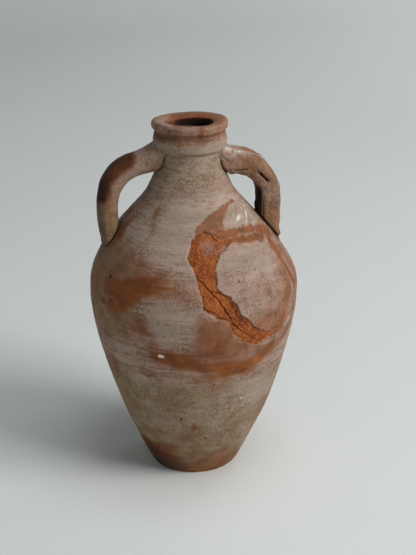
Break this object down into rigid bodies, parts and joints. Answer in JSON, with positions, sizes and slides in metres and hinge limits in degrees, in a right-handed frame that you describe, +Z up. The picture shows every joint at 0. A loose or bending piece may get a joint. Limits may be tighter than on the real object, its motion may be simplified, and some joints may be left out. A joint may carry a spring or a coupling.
{
  "type": "two-handled jar",
  "caption": "Hand-thrown terracotta jar with a flat base, swelling shoulder, banded neck, wide lip, loop handles and a mended shoulder.",
  "frame": {"origin": "middle of the flat underside of the base", "axes": "+Z up through the mouth; the handles lie along X; the mended shoulder faces -Y and +X"},
  "size_m": [0.1876, 0.1876, 0.33],
  "materials": {
    "fired_clay_base": "matte",
    "scraped_clay": "matte",
    "bloomed_clay": "matte",
    "lip_clay": "matte",
    "left_handle_clay": "matte",
    "right_handle_clay": "matte",
    "raw_orange_clay": "rough matte",
    "pale_patch": "matte"
  },
  "bodies": {
    "root": {"base_disc": "fired_clay_base", "lower_body": "scraped_clay", "upper_body": "bloomed_clay", "neck": "bloomed_clay", "collar_ring": "bloomed_clay", "rim_lip": "lip_clay", "left_handle": "left_handle_clay", "right_handle": "right_handle_clay", "repair_clay": "raw_orange_clay", "repair_patch": "pale_patch"}
  },
  "joints": []
}
